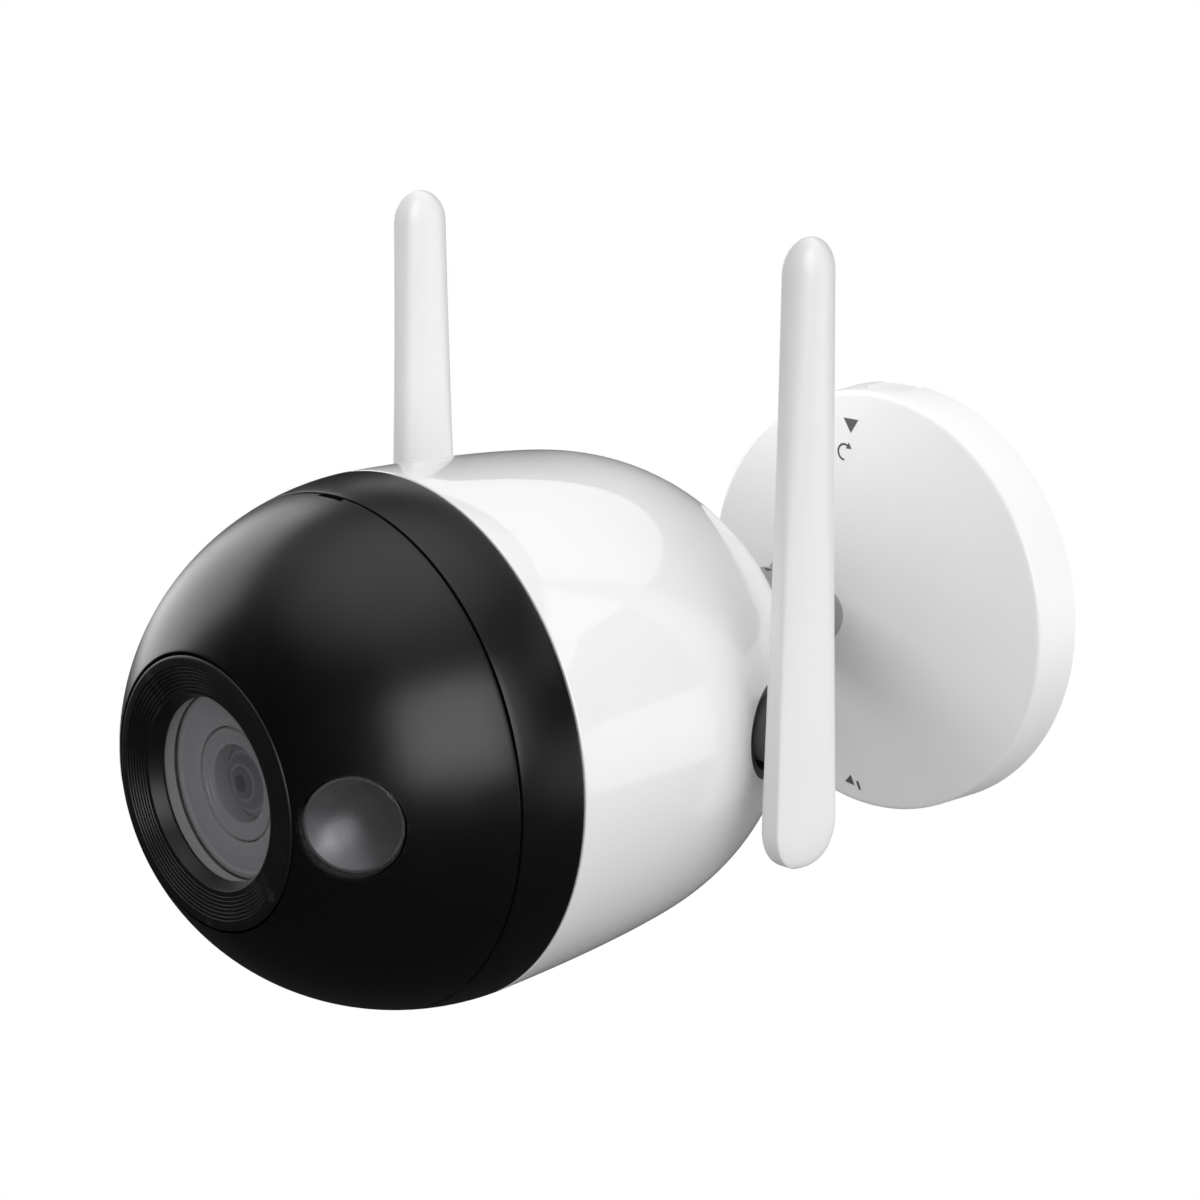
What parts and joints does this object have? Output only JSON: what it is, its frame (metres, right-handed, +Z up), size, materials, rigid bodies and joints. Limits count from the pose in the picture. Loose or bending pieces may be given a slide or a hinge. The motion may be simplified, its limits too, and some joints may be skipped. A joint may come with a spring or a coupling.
{
  "type": "security camera",
  "caption": "Wireless bullet security camera: egg-shaped white body with a black lens front and side lights, folding antennas, and a ball-joint arm on a round twist-on wall base.",
  "frame": {"origin": "centre of the wall plate's flat back, where it meets the wall", "axes": "+Y into the wall, so the lens looks along -Y; +Z up; +X to the right of someone who looks at the wall"},
  "size_m": [0.0864, 0.1466, 0.1101],
  "materials": {
    "shell_white": "glossy moulded plastic",
    "base_white": "satin moulded plastic",
    "antenna_white": "satin moulded plastic",
    "face_black": "satin black plastic",
    "joint_grey": "matt grey plastic",
    "inner_black": "matt black plastic",
    "seat_white": "natural acetal",
    "seal_rubber": "matt rubber",
    "clear_glass": "polished glass",
    "light_lens": "frosted clear plastic",
    "reflector_silver": "bright aluminium",
    "steel": "plated steel",
    "board_green": "solder-masked circuit board",
    "chip_black": "moulded chip package"
  },
  "bodies": {
    "wall": {"mounting_plate": "base_white"},
    "cover": {"base_cover": "base_white", "cable_plug": "base_white", "arm_screw_upper": "steel", "arm_screw_lower": "steel", "socket_arm": "joint_grey"},
    "lock_ring": {"lock_ring": "joint_grey"},
    "rear_seat": {"rear_seat": "seat_white"},
    "front_seat": {"front_seat": "seat_white"},
    "head": {"antenna_socket_left": "inner_black", "antenna_socket_right": "inner_black", "ball_stud": "joint_grey", "bezel_ring": "face_black", "board_screw_1": "steel", "board_screw_2": "steel", "board_screw_3": "steel", "board_screw_4": "steel", "card_socket": "steel", "chassis": "reflector_silver", "face_cap": "face_black", "front_ring": "face_black", "front_seal": "seal_rubber", "heat_sink": "reflector_silver", "image_sensor": "chip_black", "led_board_left": "board_green", "led_board_right": "board_green", "lens_barrel": "inner_black", "lens_element": "clear_glass", "lens_holder": "inner_black", "lens_window": "clear_glass", "main_board": "board_green", "microphone": "steel", "processor_chip": "chip_black", "rear_housing": "shell_white", "reset_switch": "chip_black", "sensor_board": "board_green", "service_cover": "shell_white", "service_gasket": "seal_rubber", "service_screw_front": "steel", "service_screw_rear": "steel", "speaker": "inner_black", "spotlight_lens_left": "light_lens", "spotlight_lens_right": "light_lens", "spotlight_reflector_left": "reflector_silver", "spotlight_reflector_right": "reflector_silver", "stud_nut": "steel", "stud_washer": "steel", "wifi_module": "steel", "window_gasket": "seal_rubber"},
    "reset_button": {"reset_button": "inner_black"},
    "antenna_left": {"antenna_blade_left": "antenna_white", "antenna_barrel_left": "joint_grey", "antenna_washer_left": "steel", "antenna_clip_left": "steel"},
    "antenna_right": {"antenna_blade_right": "antenna_white", "antenna_barrel_right": "joint_grey", "antenna_washer_right": "steel", "antenna_clip_right": "steel"}
  },
  "joints": [
    {"name": "cover_twist", "type": "hinge", "parent": "wall", "child": "cover", "pos_m": [0, 0, 0], "axis": [0, -1, 0], "range_deg": [0, 45]},
    {"name": "lock_ring_turn", "type": "hinge", "parent": "cover", "child": "lock_ring", "pos_m": [0, -0.034, 0], "axis": [0, 1, 0], "range_deg": [0, 60]},
    {"name": "head_roll", "type": "hinge", "parent": "cover", "child": "rear_seat", "pos_m": [0, -0.034, 0], "axis": [0, 1, 0], "range_deg": [-175, 175]},
    {"name": "head_pan", "type": "hinge", "parent": "rear_seat", "child": "front_seat", "pos_m": [0, -0.034, 0], "axis": [0, 0, 1], "range_deg": [-26, 26]},
    {"name": "head_tilt", "type": "hinge", "parent": "front_seat", "child": "head", "pos_m": [0, -0.034, 0], "axis": [1, 0, 0], "range_deg": [-26, 26]},
    {"name": "reset_press", "type": "slide", "parent": "head", "child": "reset_button", "axis": [0, 0, 1], "range_m": [0, 0.0006], "stiffness_N_per_m": 800},
    {"name": "antenna_left_fold", "type": "hinge", "parent": "head", "child": "antenna_left", "pos_m": [-0.0391, -0.0695, -0.001], "axis": [1, 0, 0], "range_deg": [-40, 90]},
    {"name": "antenna_right_fold", "type": "hinge", "parent": "head", "child": "antenna_right", "pos_m": [0.0391, -0.0695, -0.001], "axis": [1, 0, 0], "range_deg": [-40, 90]}
  ]
}
